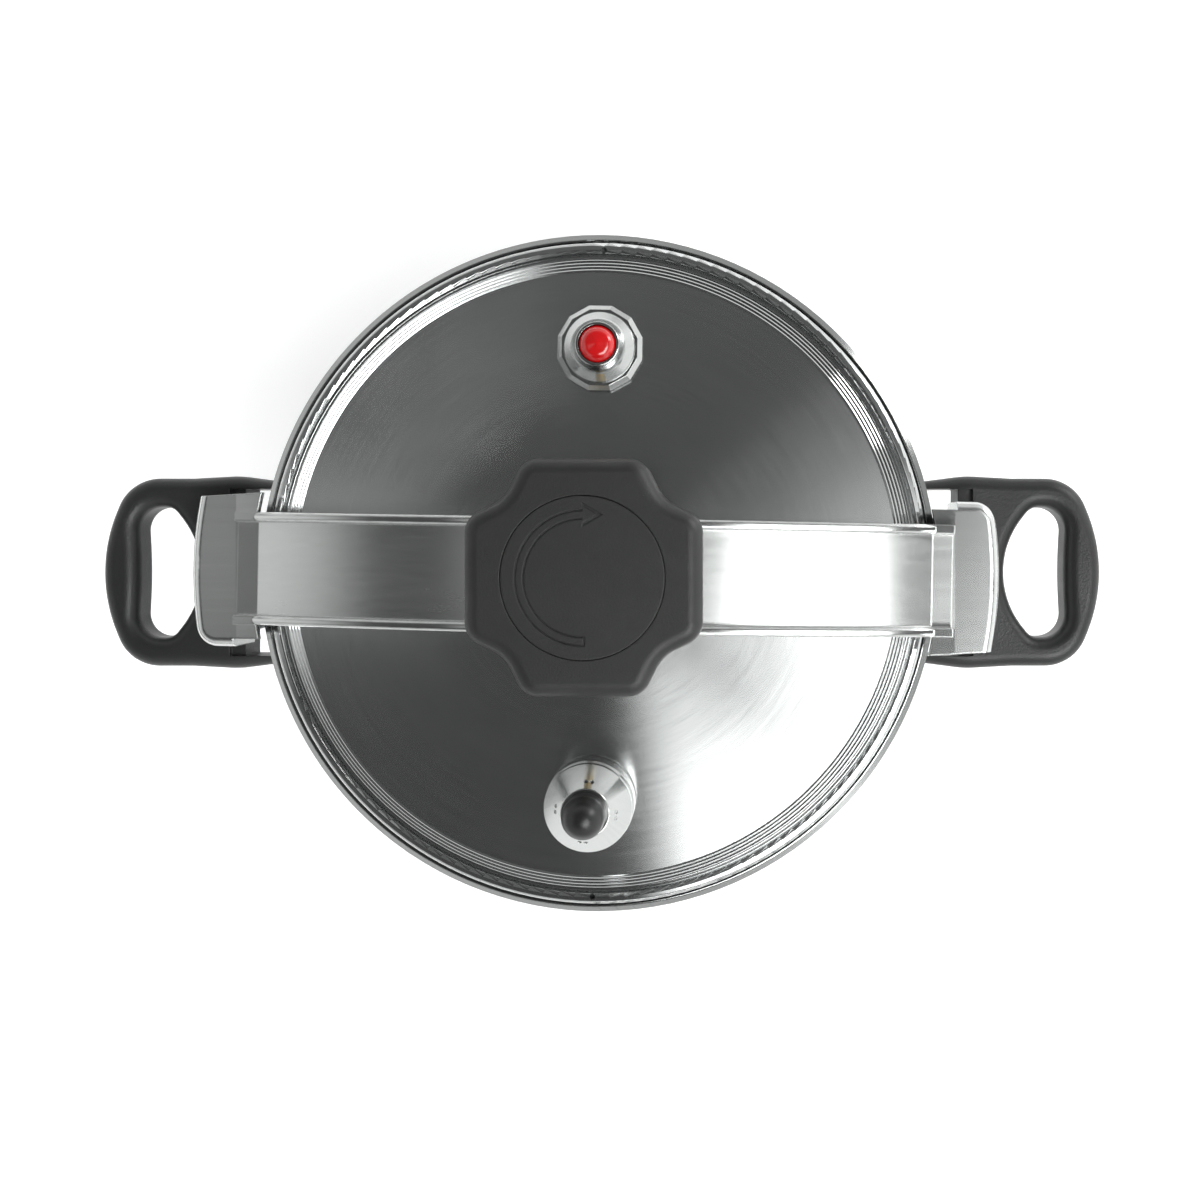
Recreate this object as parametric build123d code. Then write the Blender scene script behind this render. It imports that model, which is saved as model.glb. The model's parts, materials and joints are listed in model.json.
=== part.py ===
from build123d import *
import math
import os

# Clamp pressure cooker: a stepped steel pot, a lid that sits in its mouth, and a yoke whose two hooks
# grip lugs over the side handles while a centre screw presses the lid down.
# Millimetres. +Z up, origin at the centre of the base underside, +X along the yoke and the handles.

# ---- pot ----
pot_radius = 120.0          # outside of the straight wall
pot_wall = 1.5
rim_height = 190.0          # base underside to the top of the rim bead
mouth_step = 7.0            # the mouth stands this far out from the wall
mouth_depth = 10.0          # rim top down to the shoulder that the seal sits on
bead_radius = 1.25
step_round = 3.0
floor_round = 14.0
core_inset = 2.0            # base disc stands in from the floor's round
core_thickness = 5.0
core_taper = 4.0
cap_skin = 0.8
# ---- lid ----
lid_clearance = 1.0         # lid edge to mouth wall
lid_sheet = 1.5
dome_edge_rise = 8.0        # panel edge above the rim
dome_rise = 4.0             # centre of the panel above its edge
ridge_band = 5.5            # ring of pressed ridges round the panel
ridge_height = 0.7
outer_band = 5.0            # smooth round band outside the groove
band_rise = 3.2
skirt_drop = 5.0
drain_hole = 1.1
lid_set_angle = -1.05       # the lid and yoke sit turned by this on the pot
seal_gap = 0.4              # seal to skirt and to the mouth's inner edge
# ---- lugs, handles ----
stop_gap = 0.2              # degrees from the lug's side to the hook's closed end
lug_drop = 3.0              # rim top down to the lug's top
lug_thickness = 4.0
lug_reach = 15.0            # rim bead out to the lug's edge
riser_gap = 2.5             # rim bead to the riser
riser_wall = 3.5
saddle_sheet = 2.5
saddle_height = 30.0
tongue_length = 16.0
tongue_half_width = 12.0
handle_drop = 11.5          # rim top down to the handle's top
handle_thickness = 18.0
handle_reach = 65.5         # rim bead out to the grip's outer side
handle_half_width = 36.5
handle_round = 5.0
grip_lean = 22.8            # degrees the grip's ends lean in from its middle
grip_bow = 62.0             # radius of the grip's outer side
grip_corner = 17.0
grip_depth = 13.0           # finger hole to the grip's outer side
hole_half_width = 25.3
hole_depth = 24.3
hole_bow = 34.0             # radius of the finger hole's side towards the pot
hole_lean = 38.0            # degrees that side turns from its middle to its ends
hole_bulge = 1.3            # the grip's side of the hole stands in by this at its middle
hole_bulge_bow = 200.0
hole_corner = 9.0           # rounding at the grip
hole_turn = 6.0             # rounding where that side meets the ends
pocket_half_width = 32.3
pocket_clearance = 4.0      # riser to the handle, open right through
step_depth = 2.0            # shallow seat in the handle's top under the hook
bead_gap = 0.6
slot_clearance = 0.15
screw_shank = 2.5
screw_head = 4.5
screw_head_height = 2.8
thread_gap = 0.05
# ---- yoke ----
yoke_clearance = 10.0       # rim top up to the hook plates
hook_sheet = 3.0
hook_gap = 3.0              # lug edge to the hook's outer wall
hook_open_width = 25.8      # yoke's middle line to the hook's open end, at its outer wall
hook_open_taper = 2.3       # the open end is this much wider at its inner side
hook_closed_width = 29.2    # yoke's middle line to the outside of the wall at the closed end
hook_corner = 8.0
hook_bend = 3.5             # outside of the fold from plate to wall
end_wall_start = 132.8      # the closed end's wall runs from here out
lip_gap = 0.4               # lug underside to the lip
lip_reach = 12.0
plate_inner = 126.3
strap_half_width = 20.5
strap_sheet = 2.5
strap_rise = 18.5           # middle of the strap above its ends
strap_bend = 123.0
tab_length = 8.0
rail_width = 3.5
rail_height = 3.5
rail_round = 1.2
# ---- clamp screw and knob ----
screw_radius = 6.0
running_clearance = 0.08
spigot_radius = 5.0
bush_radius = 9.0
bush_flange = 14.0
bush_drop = 6.0
peen_radius = 11.0
peen_height = 2.0
boss_radius = 17.0
boss_height = 4.0
socket_depth = 1.5
foot_radius = 13.0
foot_clearance = 0.4
foot_disc = 3.0
foot_hub = 9.5
foot_height = 6.0
clip_outer = 7.2
clip_thickness = 1.0
clip_gap = 0.1
knob_half_width = 40.0
knob_flat = 20.0
knob_valley = 26.5
knob_lobe_round = 8.0
knob_valley_round = 14.0
knob_height = 21.0
knob_gap = 1.5              # strap rails to the knob's underside
knob_edge_round = 5.0
knob_cap_radius = 27.5
knob_cap_height = 2.5
cap_gap = 0.15
nut_across = 16.0
nut_height = 5.5
nut_room = 13.0
washer_radius = 10.0
washer_thickness = 1.5
knob_seat = 3.0             # shoulder above the knob's underside
knob_hub = 8.0              # shoulder up to the washer's seat
arrow_inner = 19.4
arrow_outer = 22.8
arrow_depth = 0.4
arrow_line = 0.6
# ---- valves ----
valve_reach = 83.3          # lid centre to each valve
seal_sheet = 1.5
flange_radius = 16.2
flange_edge = 0.8           # upright part of the flange's facets, below their slope
flange_thickness = 2.5
flange_sides = 12
flange_taper = 46.0
bell_base = 13.0
bell_top = 8.1
bell_height = 9.5
bell_bore = 6.9
button_radius = 6.65
button_travel = 4.0
stem_radius = 2.0
stem_guide = 3.0            # solid web at the foot of the bell
wire = 0.5
coil_radius = 3.4
coil_turns = 4
spring_length = 9.0
neck_radius = 5.0           # threaded neck through the lid
neck_drop = 9.0
valve_nut_across = 19.0
valve_nut_height = 5.0
vent_base_radius = 16.2
vent_base_height = 12.0
vent_bore = 2.0
vent_pipe = 4.5
vent_pipe_height = 9.0
weight_gap = 0.3
weight_skirt = 15.8
weight_skirt_height = 3.0
weight_cone_height = 9.6
weight_top = 8.6
ball_radius = 7.55
ball_neck = 7.35
ball_rise = 6.9             # cone's top up to the ball's middle
needle_radius = 1.7
needle_head = 4.2
mark_radius = 0.75
mark_spread = 1.05
mark_place = 0.3            # of the slope down from the cone's top
mark_turn = -5.0
filter_radius = 8.0
filter_height = 5.0
filter_sheet = 0.8
# ---- rack ----
rack_gap = 4.0
rack_sheet = 1.5
rack_height = 14.0
rack_hole = 5.0
rack_foot = 4.0

# ---- places that follow ----
mouth_outer = pot_radius + mouth_step
mouth_inner = mouth_outer - pot_wall
bead_outer = mouth_inner + 2 * bead_radius
shoulder = rim_height - mouth_depth
floor_under = cap_skin + core_thickness
floor_top = floor_under + pot_wall
core_radius = pot_radius - floor_round - core_inset
lid_radius = mouth_inner - lid_clearance
panel_radius = lid_radius - outer_band - 2.0 - ridge_band
panel_edge = rim_height + dome_edge_rise
lid_top = panel_edge + dome_rise
dome_radius = (panel_radius**2 + dome_rise**2) / (2 * dome_rise)
dome_centre = lid_top - dome_radius
lug_top = rim_height - lug_drop
lug_under = lug_top - lug_thickness
lug_edge = bead_outer + lug_reach
riser_inner = bead_outer + riser_gap
riser_outer = riser_inner + riser_wall
handle_top = rim_height - handle_drop
handle_low = handle_top - handle_thickness
handle_mid = handle_top - handle_thickness / 2
tongue_top = handle_mid + lug_thickness / 2
tongue_low = handle_mid - lug_thickness / 2
saddle_top = shoulder - pot_wall - step_round - 1.5
tongue_end = riser_outer + tongue_length
handle_end = bead_outer + handle_reach
screw_x = tongue_end - 5.5
plate_low = rim_height + yoke_clearance
plate_top = plate_low + hook_sheet
hook_outer = lug_edge + hook_gap + hook_sheet
end_wall_inside = hook_closed_width - hook_sheet
lug_half_angle = math.degrees(math.asin(end_wall_inside / lug_edge)) + lid_set_angle - stop_gap
lip_top = lug_under - lip_gap
lip_low = lip_top - 2.6
strap_under = plate_top + strap_rise            # underside of the strap in the middle
strap_top = strap_under + strap_sheet
under_radius = (strap_bend**2 + strap_rise**2) / (2 * strap_rise)
boss_top = lid_top + boss_height
foot_low = boss_top - socket_depth
foot_top = foot_low + foot_height
socket_floor = foot_low + 1.7
bush_low = strap_under - bush_drop
knob_low = strap_top + rail_height + knob_gap
knob_top = knob_low + knob_height
seat = knob_low + knob_seat
washer_seat = seat + knob_hub
clip_low = foot_top - 2.3


def plan(corners):
    """A flat face in XY from corners (x, y, rounding)."""
    points = [(x, y) for x, y, _ in corners]
    return make_face(FilletPolyline(*points, radius=[r for _, _, r in corners], close=True))


def plate(corners, low, high):
    """A plan outline raised from one height to another."""
    return extrude(Pos(0, 0, low) * plan(corners), high - low, dir=(0, 0, 1))


def turned(corners, arc=360.0, start=0.0):
    """A solid turned about Z from corners (radius, height, rounding)."""
    return Rot(0, 0, start) * revolve(Rot(90, 0, 0) * plan(corners), Axis.Z, arc)


def ring(outer, inner, low, high):
    """A ring on the Z axis, solid where inner is 0."""
    body = Pos(0, 0, (low + high) / 2) * Cylinder(outer, high - low)
    if inner:
        body -= Pos(0, 0, (low + high) / 2) * Cylinder(inner, high - low)
    return body


def block(x0, x1, y0, y1, z0, z1):
    """A box between two corners."""
    return Pos((x0 + x1) / 2, (y0 + y1) / 2, (z0 + z1) / 2) * Box(x1 - x0, y1 - y0, z1 - z0)


def dome_height(radius, sheet=0.0):
    """Height of the lid panel at a radius, on its top or a sheet's thickness under it."""
    return dome_centre + math.sqrt((dome_radius - sheet) ** 2 - radius**2)


def dome_arc(radius, sheet=0.0):
    """The panel's section from the axis out to a radius."""
    bow = dome_radius - sheet
    return CenterArc((0, dome_centre), bow, 90, -math.degrees(math.asin(radius / bow)))


def pot_shell():
    """One drawn shell: floor, straight wall, stepped mouth and the rolled bead."""
    lean = mouth_outer - (mouth_inner + bead_radius)
    bead_foot = rim_height - bead_radius - math.sqrt(bead_radius**2 - lean**2)
    inside = pot_radius - pot_wall
    shell = turned([
        (0, floor_under, 0),
        (pot_radius, floor_under, floor_round),
        (pot_radius, shoulder - pot_wall, step_round),
        (mouth_outer, shoulder - pot_wall, step_round),
        (mouth_outer, bead_foot, 0),
        (mouth_inner, bead_foot, 0),
        (mouth_inner, shoulder, 1.0),
        (inside, shoulder, 1.0),
        (inside, floor_top, floor_round - pot_wall),
        (0, floor_top, 0),
    ])
    bead_face = Pos(mouth_inner + bead_radius, rim_height - bead_radius) * Circle(bead_radius)
    return shell + revolve(Rot(90, 0, 0) * bead_face, Axis.Z, 360)


def base_core():
    """Aluminium heat-spreading disc under the floor."""
    return turned([
        (0, cap_skin, 0), (core_radius - core_taper, cap_skin, 0),
        (core_radius, floor_under, 0), (0, floor_under, 0),
    ])


def base_cap():
    """Steel skin that closes the aluminium disc in."""
    return turned([
        (0, 0, 0), (core_radius - core_taper + cap_skin / 2, 0, 1.0),
        (core_radius + cap_skin, floor_under, 0), (core_radius, floor_under, 0),
        (core_radius - core_taper, cap_skin, 0), (0, cap_skin, 0),
    ])


def lug_bracket():
    """Bracket at +X: a saddle welded to the wall, the lug over it and a tongue into the handle."""
    body = turned([
        (pot_radius, saddle_top - saddle_height, 0),
        (pot_radius + saddle_sheet, saddle_top - saddle_height, 0),
        (pot_radius + saddle_sheet, tongue_low, 1.0),
        (riser_outer, tongue_low, 1.5),
        (riser_outer, lug_under, 0.8),
        (lug_edge, lug_under, 0.8),
        (lug_edge, lug_top, 1.5),
        (riser_inner, lug_top, 1.5),
        (riser_inner, tongue_top, 0.8),
        (pot_radius + saddle_sheet, tongue_top, 0.5),
        (pot_radius + saddle_sheet, saddle_top, 0),
        (pot_radius, saddle_top, 0),
    ], 2 * lug_half_angle, -lug_half_angle)
    body += block(riser_inner + 1, tongue_end, -tongue_half_width, tongue_half_width, tongue_low, tongue_top)
    return body - Pos(screw_x, 0, 0) * ring(screw_shank + thread_gap, 0, tongue_low - 1, tongue_top + 1)


def finger_hole():
    """Hole for the fingers: a wide arc towards the pot, and the grip's side bulging in a little."""
    outer = handle_end - grip_depth
    half = hole_half_width
    lean = math.radians(hole_lean)
    point = outer - hole_depth - hole_bow * (1 / math.cos(lean) - 1)
    inner_end = point + half * math.tan(lean)
    corners = [
        (outer, half, hole_corner), (outer - hole_bulge, 0, hole_bulge_bow), (outer, -half, hole_corner),
        (inner_end, -half, hole_turn), (point, 0, hole_bow), (inner_end, half, hole_turn),
    ]
    return plate(corners, handle_low - 1, handle_top + 1)


def handle():
    """Moulded loop handle at +X, its ears beside the bracket and its slot over the tongue."""
    half = handle_half_width
    root = pot_radius - 2
    lean = math.radians(grip_lean)
    point = handle_end + grip_bow * (1 / math.cos(lean) - 1)
    top_side = [
        (root, half - 2.0, 0), (bead_outer + 13, half + 1.0, 40), (bead_outer + 31, half, 30),
        (point - half * math.tan(lean), half, grip_corner),
    ]
    outline = top_side + [(point, 0, grip_bow)] + [(x, -y, r) for x, y, r in reversed(top_side)]
    body = plate(outline, handle_low, handle_top) - finger_hole()
    faces = body.edges().group_by(Axis.Z)
    body = fillet([e for e in faces[0] + faces[-1] if e.center().X > root + 1], handle_round)
    under_step = shoulder - pot_wall - step_round - 2.0
    body -= ring(pot_radius + bead_gap, 0, handle_low - 1, under_step)
    body -= ring(bead_outer + bead_gap, 0, under_step, handle_top + 1)
    pocket = riser_outer + pocket_clearance
    body -= block(0, pocket, -pocket_half_width, pocket_half_width, handle_low - 1, handle_top + 1)
    body -= block(
        0, lug_edge + 0.5, -pocket_half_width, pocket_half_width, handle_top - step_depth, handle_top + 1)
    body -= block(
        0, tongue_end + slot_clearance, -tongue_half_width - slot_clearance,
        tongue_half_width + slot_clearance, tongue_low - slot_clearance, tongue_top + slot_clearance)
    head_seat = handle_low + screw_head_height + 0.7
    body -= Pos(screw_x, 0, 0) * ring(screw_head + 0.5, 0, handle_low - 1, head_seat)
    return body - Pos(screw_x, 0, 0) * ring(screw_shank + 0.2, 0, head_seat - 1, tongue_low + 0.5)


def handle_screw():
    """Pan-head screw up through the handle into the bracket's tongue at +X."""
    head_seat = handle_low + screw_head_height + 0.7
    head = ring(screw_head, 0, head_seat - screw_head_height, head_seat)
    head = fillet(head.edges().group_by(Axis.Z)[0], 1.0)
    slot = block(-screw_head, screw_head, -0.5, 0.5, head_seat - screw_head_height - 1, head_seat - 1.6)
    shank = ring(screw_shank, 0, head_seat - 0.5, tongue_top - 0.5)
    return Pos(screw_x, 0, 0) * (head - slot + shank)


def both_sides(piece):
    """The piece at +X and its twin turned half a turn to -X."""
    return [piece, Rot(0, 0, 180) * piece]


def lid_shell():
    """Pressed lid: a shallow dome, fine ridges, a groove, a round band and the skirt."""
    seat_edge = lid_radius - outer_band
    groove = seat_edge - 2.0
    ridges = []
    pitch = ridge_band / 4
    for index in range(4):
        start = panel_radius + index * pitch
        level = panel_edge - index * 0.9
        ridges += [
            (start + 0.15 * pitch, level, 0.2),
            (start + 0.5 * pitch, level + ridge_height, 0.25),
            (start + 0.85 * pitch, level - 0.2, 0.2),
        ]
    corners = [
        (panel_radius, panel_edge, 0),
        *ridges,
        (groove, panel_edge - 4.4, 0.6),
        (groove + 0.9, rim_height + 0.9, 0.6),
        (seat_edge + 0.3, rim_height + 0.9, 0.6),
        (seat_edge + 1.2, rim_height + band_rise, 1.2),
        (lid_radius, rim_height + band_rise - 0.8, 2.0),
        (lid_radius, rim_height - skirt_drop, 0.5),
        (lid_radius - lid_sheet, rim_height - skirt_drop, 0.5),
        (lid_radius - lid_sheet, rim_height, 0),
        (groove - 0.4, rim_height, 0.4),
        (groove - 1.2, panel_edge - 6.2, 0.4),
        (panel_radius, dome_height(panel_radius, lid_sheet), 0.5),
    ]
    line = [
        dome_arc(panel_radius),
        FilletPolyline(*[(x, y) for x, y, _ in corners], radius=[r for _, _, r in corners[1:-1]]),
        dome_arc(panel_radius, lid_sheet),
        Line((0, lid_top - lid_sheet), (0, lid_top)),
    ]
    face = make_face(Curve() + line)
    body = revolve(Rot(90, 0, 0) * face, Axis.Z, 360)
    for side in (1, -1):
        hole = ring(drain_hole, 0, rim_height - 1, rim_height + band_rise + 1)
        body -= Pos(0, side * (lid_radius - lid_sheet - 1.6), 0) * hole
        body -= Pos(0, side * valve_reach, 0) * ring(neck_radius + thread_gap, 0, rim_height, lid_top + 5)
    return body


def lid_gasket():
    """Moulded ring between the lid's rim and the shoulder in the pot's mouth."""
    outer = lid_radius - lid_sheet - seal_gap
    inner = pot_radius - pot_wall + seal_gap
    return turned([
        (inner, shoulder, 0.8), (outer, shoulder, 0.8), (outer, rim_height, 0.5), (inner, rim_height, 0.5),
        (inner, rim_height - 2.5, 0.4), (inner + 1.6, rim_height - mouth_depth / 2, 0.6),
        (inner, shoulder + 2.5, 0.4),
    ])


def centre_boss(lid):
    """Cup welded on the lid's middle that takes the screw's foot."""
    body = turned([
        (0, lid_top - 1.4, 0), (boss_radius, lid_top - 1.4, 0), (boss_radius, boss_top, 1.5),
        (foot_radius + foot_clearance, boss_top, 0.5), (foot_radius + foot_clearance, foot_low, 0),
        (0, foot_low, 0),
    ])
    return body - lid


def hexagon(across, hole, low, high):
    """A hexagon nut on the Z axis."""
    body = extrude(Pos(0, 0, low) * RegularPolygon(across / 2, 6, major_radius=False), high - low)
    return body - ring(hole, 0, low - 1, high + 1)


def polygon_flange(low, high):
    """Twelve-sided flange of the indicator's housing, its facets upright and then sloping in."""
    outline = Rot(0, 0, 180 / flange_sides) * RegularPolygon(flange_radius, flange_sides)
    upright = extrude(Pos(0, 0, low) * outline, flange_edge)
    return upright + extrude(Pos(0, 0, low + flange_edge) * outline, high - low - flange_edge, taper=flange_taper)


panel_at_valve = dome_height(valve_reach)
panel_under = dome_height(valve_reach, lid_sheet)
flange_low = panel_at_valve + seal_sheet
flange_high = flange_low + flange_thickness
bell_low = flange_high
bell_high = bell_low + bell_height
nut_seat = panel_under - 1.2


def valve_seal(outer):
    """Rubber ring under a valve, before it is trimmed to the lid's curve."""
    return ring(outer, neck_radius + thread_gap, panel_at_valve - 1.2, flange_low)


def indicator_housing():
    """Twelve-sided flange and bell with a threaded neck; the button slides in it."""
    bell = turned([
        (0, bell_low - 0.5, 0), (bell_base, bell_low - 0.5, 0), (bell_base, bell_low + 1.0, 1.0),
        (bell_base - 3.6, bell_low + 4.5, 5.0), (bell_top, bell_high - 1.0, 3.0), (bell_top, bell_high, 0.5),
        (0, bell_high, 0),
    ])
    body = polygon_flange(flange_low, flange_high) + bell
    body += ring(neck_radius, 0, nut_seat - neck_drop, flange_low + 0.5)
    body -= ring(bell_bore, 0, flange_low + stem_guide, bell_high + 1)
    return body - ring(stem_radius + running_clearance, 0, nut_seat - neck_drop - 1, bell_high)


def indicator_button():
    """Red dome with a hollow skirt, flush at rest, that rises when the pot is under pressure."""
    low = bell_high - 4.2
    return turned([
        (0, low, 0), (button_radius, low, 0.4), (button_radius, bell_high - 0.6, 0.6),
        (button_radius * 0.72, bell_high + 1.7, 3.2), (0, bell_high + 2.4, 0),
    ])


def indicator_stem():
    """Pin under the button, down through the neck, with a head that holds the spring up."""
    head_top = nut_seat - neck_drop - spring_length
    pin = ring(stem_radius, 0, head_top, bell_high - 4.2)
    return pin + ring(neck_radius - 0.3, 0, head_top - 2.0, head_top)


def indicator_spring():
    """Wire coil round the pin, between the neck and the pin's head, that pulls the button down."""
    height = spring_length - 2 * wire - 0.2
    path = Helix(pitch=height / coil_turns, height=height, radius=coil_radius)
    section = Plane(origin=path @ 0, z_dir=path % 0) * Circle(wire)
    return Pos(0, 0, nut_seat - neck_drop - spring_length + wire + 0.1) * sweep(section, path)


def vent_body():
    """Fixed base of the regulator: a round base on the lid, a pipe up and a threaded neck down."""
    low = flange_low
    high = low + vent_base_height
    body = turned([
        (0, low, 0), (vent_base_radius, low, 0.6), (vent_base_radius, high - 2.5, 0.8),
        (vent_base_radius - 2.0, high, 0.8), (vent_pipe + 2.0, high, 0), (vent_pipe + 2.0, high - 2, 0),
        (vent_pipe, high - 2, 0), (vent_pipe, high + vent_pipe_height, 0.6), (0, high + vent_pipe_height, 0),
    ])
    body += ring(neck_radius, 0, nut_seat - neck_drop, low + 0.5)
    return body - ring(vent_bore, 0, nut_seat - neck_drop - 1, high + vent_pipe_height + 1)


vent_high = flange_low + vent_base_height
pipe_high = vent_high + vent_pipe_height
weight_low = vent_high + weight_gap
skirt_high = weight_low + weight_skirt_height
weight_high = skirt_high + weight_cone_height
needle_low = pipe_high + 0.05


def regulator_needle():
    """Needle disc that closes the vent pipe and carries the turning cone on its stem."""
    disc = ring(needle_head, 0, needle_low, needle_low + 1.5)
    tip = turned([(0, needle_low - 2.0, 0), (0.6, needle_low - 2.0, 0), (needle_radius, needle_low + 0.2, 0),
                  (0, needle_low + 0.2, 0)])
    return disc + tip + ring(needle_radius, 0, needle_low, weight_high - 1.0)


def regulator_cone():
    """Turned cone over the vent pipe, with four pairs of small setting dots."""
    room = vent_pipe + weight_gap + 0.3
    body = turned([
        (0, weight_low, 0), (weight_skirt, weight_low, 0.5), (weight_skirt, skirt_high, 0.5),
        (weight_top, weight_high, 0.6), (0, weight_high, 0),
    ])
    body -= ring(room, 0, weight_low - 1, needle_low + 1.9)
    body -= ring(needle_radius + running_clearance, 0, weight_low, weight_high + 1)
    slope = math.degrees(math.atan2(weight_cone_height, weight_skirt - weight_top))
    middle = weight_top + mark_place * (weight_skirt - weight_top)
    height = weight_high - mark_place * weight_cone_height
    for quarter in range(4):
        for side in (-1, 1):
            dot = Pos(middle, side * mark_spread, height) * Rot(0, 90 - slope, 0) * Cylinder(mark_radius, 1.0)
            body -= Rot(0, 0, 90 * quarter + mark_turn) * dot
    return body


def regulator_ball():
    """Black round-ended grip pressed on the cone, held to lift or turn it."""
    centre = weight_high + ball_rise
    ball = Pos(0, 0, centre) * Sphere(ball_radius)
    ball += ring(ball_neck, 0, weight_high, centre)
    return ball - block(-20, 20, -20, 20, weight_high - 20, weight_high)


def vent_filter():
    """Perforated cup under the vent that keeps food out of the bore."""
    high = nut_seat - neck_drop + 1.5
    low = high - filter_height
    body = turned([
        (0, low, 0), (filter_radius, low, 0.8), (filter_radius, high, 0), (neck_radius + thread_gap, high, 0),
        (neck_radius + thread_gap, high - filter_sheet, 0), (filter_radius - filter_sheet, high - filter_sheet, 0),
        (filter_radius - filter_sheet, low + filter_sheet, 0), (0, low + filter_sheet, 0),
    ])
    for index in range(8):
        hole = Pos(filter_radius, 0, (low + high) / 2) * Rot(0, 90, 0) * Cylinder(0.9, 4)
        body -= Rot(0, 0, 45 * index) * hole
    return body


def hook_plan(inset, open_outer, open_inner, low, high):
    """The hook's outline at +X, drawn in by an inset, raised from one height to another."""
    outer = hook_outer - inset
    closed = hook_closed_width - inset
    start = plate_inner - 6
    body = plate([
        (start, -open_inner, 0), (hook_outer, -open_outer, 0), (hook_outer, closed, 0), (start, closed, 0),
    ], low, high)
    body &= ring(outer, 0, low, high)
    corner = body.edges().filter_by(Axis.Z).sort_by(lambda e: e.center().X + e.center().Y)[-1]
    return fillet(corner, hook_corner - inset)


def hook():
    """Right hook: plate over the lug, outer wall, lip under it, and a wall across the closed end."""
    body = hook_plan(0, hook_open_width, hook_open_width + hook_open_taper, lip_low, plate_top)
    top_edges = body.edges().group_by(Axis.Z)[-1]
    folded = [e for e in top_edges if e.center().X > hook_outer - 30 and e.center().Y > -hook_open_width + 5]
    folded = [e for e in folded if e.center().Y > 0 or e.geom_type == GeomType.CIRCLE]
    body = fillet(folded, hook_bend)
    body -= hook_plan(hook_sheet, 60, 60, lip_top, plate_low)
    lip_inner = ring(lug_edge - lip_reach / 2, 0, lip_low - 1, lip_top)
    body -= lip_inner & block(0, hook_outer, -60, end_wall_inside, lip_low - 1, lip_top)
    body -= block(0, end_wall_start, -60, 60, lip_low - 1, plate_low)
    body -= block(0, end_wall_start, end_wall_inside, 60, plate_low - 1, plate_top + 1)
    return body - ring(plate_inner, 0, plate_low - 5, plate_top + 5)


def strap_layer(low, high, y0, y1):
    """Part of the strap between two heights over its underside and two sides."""
    centre = strap_under - under_radius
    end = strap_bend + tab_length

    def join(level):
        return math.sqrt((under_radius + level) ** 2 - (plate_top + level - centre) ** 2)

    top, under = join(high), join(low)
    edges = [
        Line((-end, plate_top + low), (-under, plate_top + low)),
        ThreePointArc((-under, plate_top + low), (0, strap_under + low), (under, plate_top + low)),
        Line((under, plate_top + low), (end, plate_top + low)),
        Line((end, plate_top + low), (end, plate_top + high)),
        Line((end, plate_top + high), (top, plate_top + high)),
        ThreePointArc((top, plate_top + high), (0, strap_under + high), (-top, plate_top + high)),
        Line((-top, plate_top + high), (-end, plate_top + high)),
        Line((-end, plate_top + high), (-end, plate_top + low)),
    ]
    face = Pos(0, y0, 0) * Rot(90, 0, 0) * make_face(Curve() + edges)
    return extrude(face, y1 - y0, dir=(0, 1, 0))


def yoke_strap():
    """Arched channel: a flat web with a rail along each long side, and a flat tab at each end."""
    half = strap_half_width
    body = strap_layer(0, strap_sheet, -half, half)
    for side in (-1, 1):
        y0, y1 = sorted((side * half, side * (half - rail_width)))
        rail = strap_layer(0, strap_sheet + rail_height, y0, y1)
        top_face = max(rail.faces().filter_by(GeomType.CYLINDER), key=lambda f: f.center().Z)
        long_edges = top_face.edges().filter_by(GeomType.CIRCLE)
        body += fillet(long_edges, rail_round)
    return body - ring(bush_radius, 0, plate_low, strap_top + 20)


def threaded_bush(strap):
    """Flanged bush peened into the strap; the clamp screw runs in it."""
    flange = ring(bush_flange, 0, bush_low, strap_under + 0.5)
    barrel = ring(bush_radius - thread_gap, 0, bush_low, strap_top + peen_height)
    peen = ring(peen_radius, 0, strap_top - 0.5, strap_top + peen_height)
    peen = fillet(peen.edges().group_by(Axis.Z)[-1], 0.8)
    body = flange + barrel + peen - strap
    body = body.solids().sort_by(SortBy.VOLUME)[-1]
    return body - ring(screw_radius + running_clearance, 0, bush_low - 1, strap_top + 10)


def pressure_foot():
    """Swivel foot that presses on the lid's boss, with a socket and a clip groove for the screw."""
    body = turned([
        (0, foot_low, 0), (foot_radius, foot_low, 0.6), (foot_radius, foot_low + foot_disc, 0.8),
        (foot_hub, foot_low + foot_disc, 0.5), (foot_hub, foot_top, 0.8), (0, foot_top, 0),
    ])
    body -= ring(screw_radius + running_clearance, 0, socket_floor, foot_top + 1)
    return body - ring(clip_outer + clip_gap, 0, clip_low - clip_gap, clip_low + clip_thickness + clip_gap)


def foot_clip():
    """Snap ring in the foot's groove that keeps the screw from pulling out."""
    body = ring(clip_outer, screw_radius - 0.7, clip_low, clip_low + clip_thickness)
    return body - block(0, clip_outer + 1, -1, 1, clip_low - 1, clip_low + clip_thickness + 1)


def clamp_screw():
    """Screw with a clip groove at its foot and a threaded spigot for the knob's nut."""
    tip = socket_floor + 0.2
    body = turned([
        (0, tip, 0), (screw_radius, tip, 0.8), (screw_radius, seat, 0), (spigot_radius, seat, 0),
        (spigot_radius, washer_seat + washer_thickness + nut_height + 0.5, 0.6),
        (0, washer_seat + washer_thickness + nut_height + 0.5, 0),
    ])
    groove = ring(screw_radius + 1, screw_radius - 0.8, clip_low - clip_gap, clip_low + clip_thickness + clip_gap)
    return body - groove


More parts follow.
